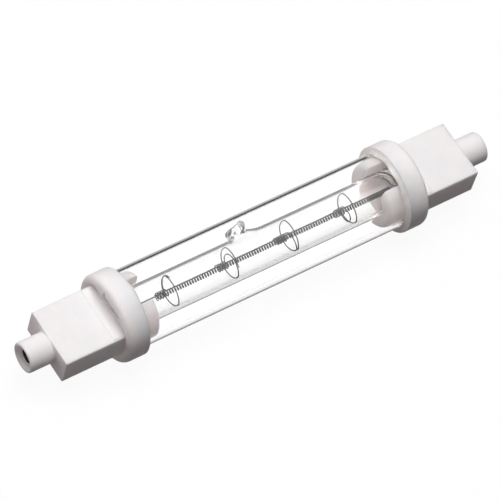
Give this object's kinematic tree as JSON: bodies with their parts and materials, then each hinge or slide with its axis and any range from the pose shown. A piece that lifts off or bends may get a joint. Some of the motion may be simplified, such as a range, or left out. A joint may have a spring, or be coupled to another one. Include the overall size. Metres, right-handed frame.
{
  "type": "linear halogen lamp",
  "caption": "Double-ended linear halogen lamp: coiled filament on ring supports in a clear capsule, inside a clear outer jacket held by flanged ceramic end caps with recessed contacts.",
  "frame": {"origin": "the middle of the lamp, on the axis of its glass tubes", "axes": "+X along the lamp towards the right cap, +Z out of the wide faces of the cap blocks"},
  "size_m": [0.118, 0.0202, 0.0202],
  "materials": {
    "cap_ceramic": "satin",
    "jacket_quartz": "polished",
    "capsule_quartz": "polished",
    "jacket_cement": "matte",
    "press_cement": "matte",
    "contact_metal": "satin",
    "molybdenum_foil": "polished",
    "molybdenum_wire": "satin",
    "tungsten_coil": "satin",
    "tungsten_support": "satin"
  },
  "bodies": {
    "root": {"left_cap": "cap_ceramic", "right_cap": "cap_ceramic", "left_contact": "contact_metal", "right_contact": "contact_metal", "outer_jacket": "jacket_quartz", "left_jacket_cement": "jacket_cement", "right_jacket_cement": "jacket_cement", "inner_capsule": "capsule_quartz", "left_press_cement": "press_cement", "right_press_cement": "press_cement", "left_foil": "molybdenum_foil", "right_foil": "molybdenum_foil", "left_outer_lead": "molybdenum_wire", "right_outer_lead": "molybdenum_wire", "left_inner_lead": "molybdenum_wire", "right_inner_lead": "molybdenum_wire", "filament": "tungsten_coil", "filament_support_1": "tungsten_support", "filament_support_2": "tungsten_support", "filament_support_3": "tungsten_support", "filament_support_4": "tungsten_support"}
  },
  "joints": []
}
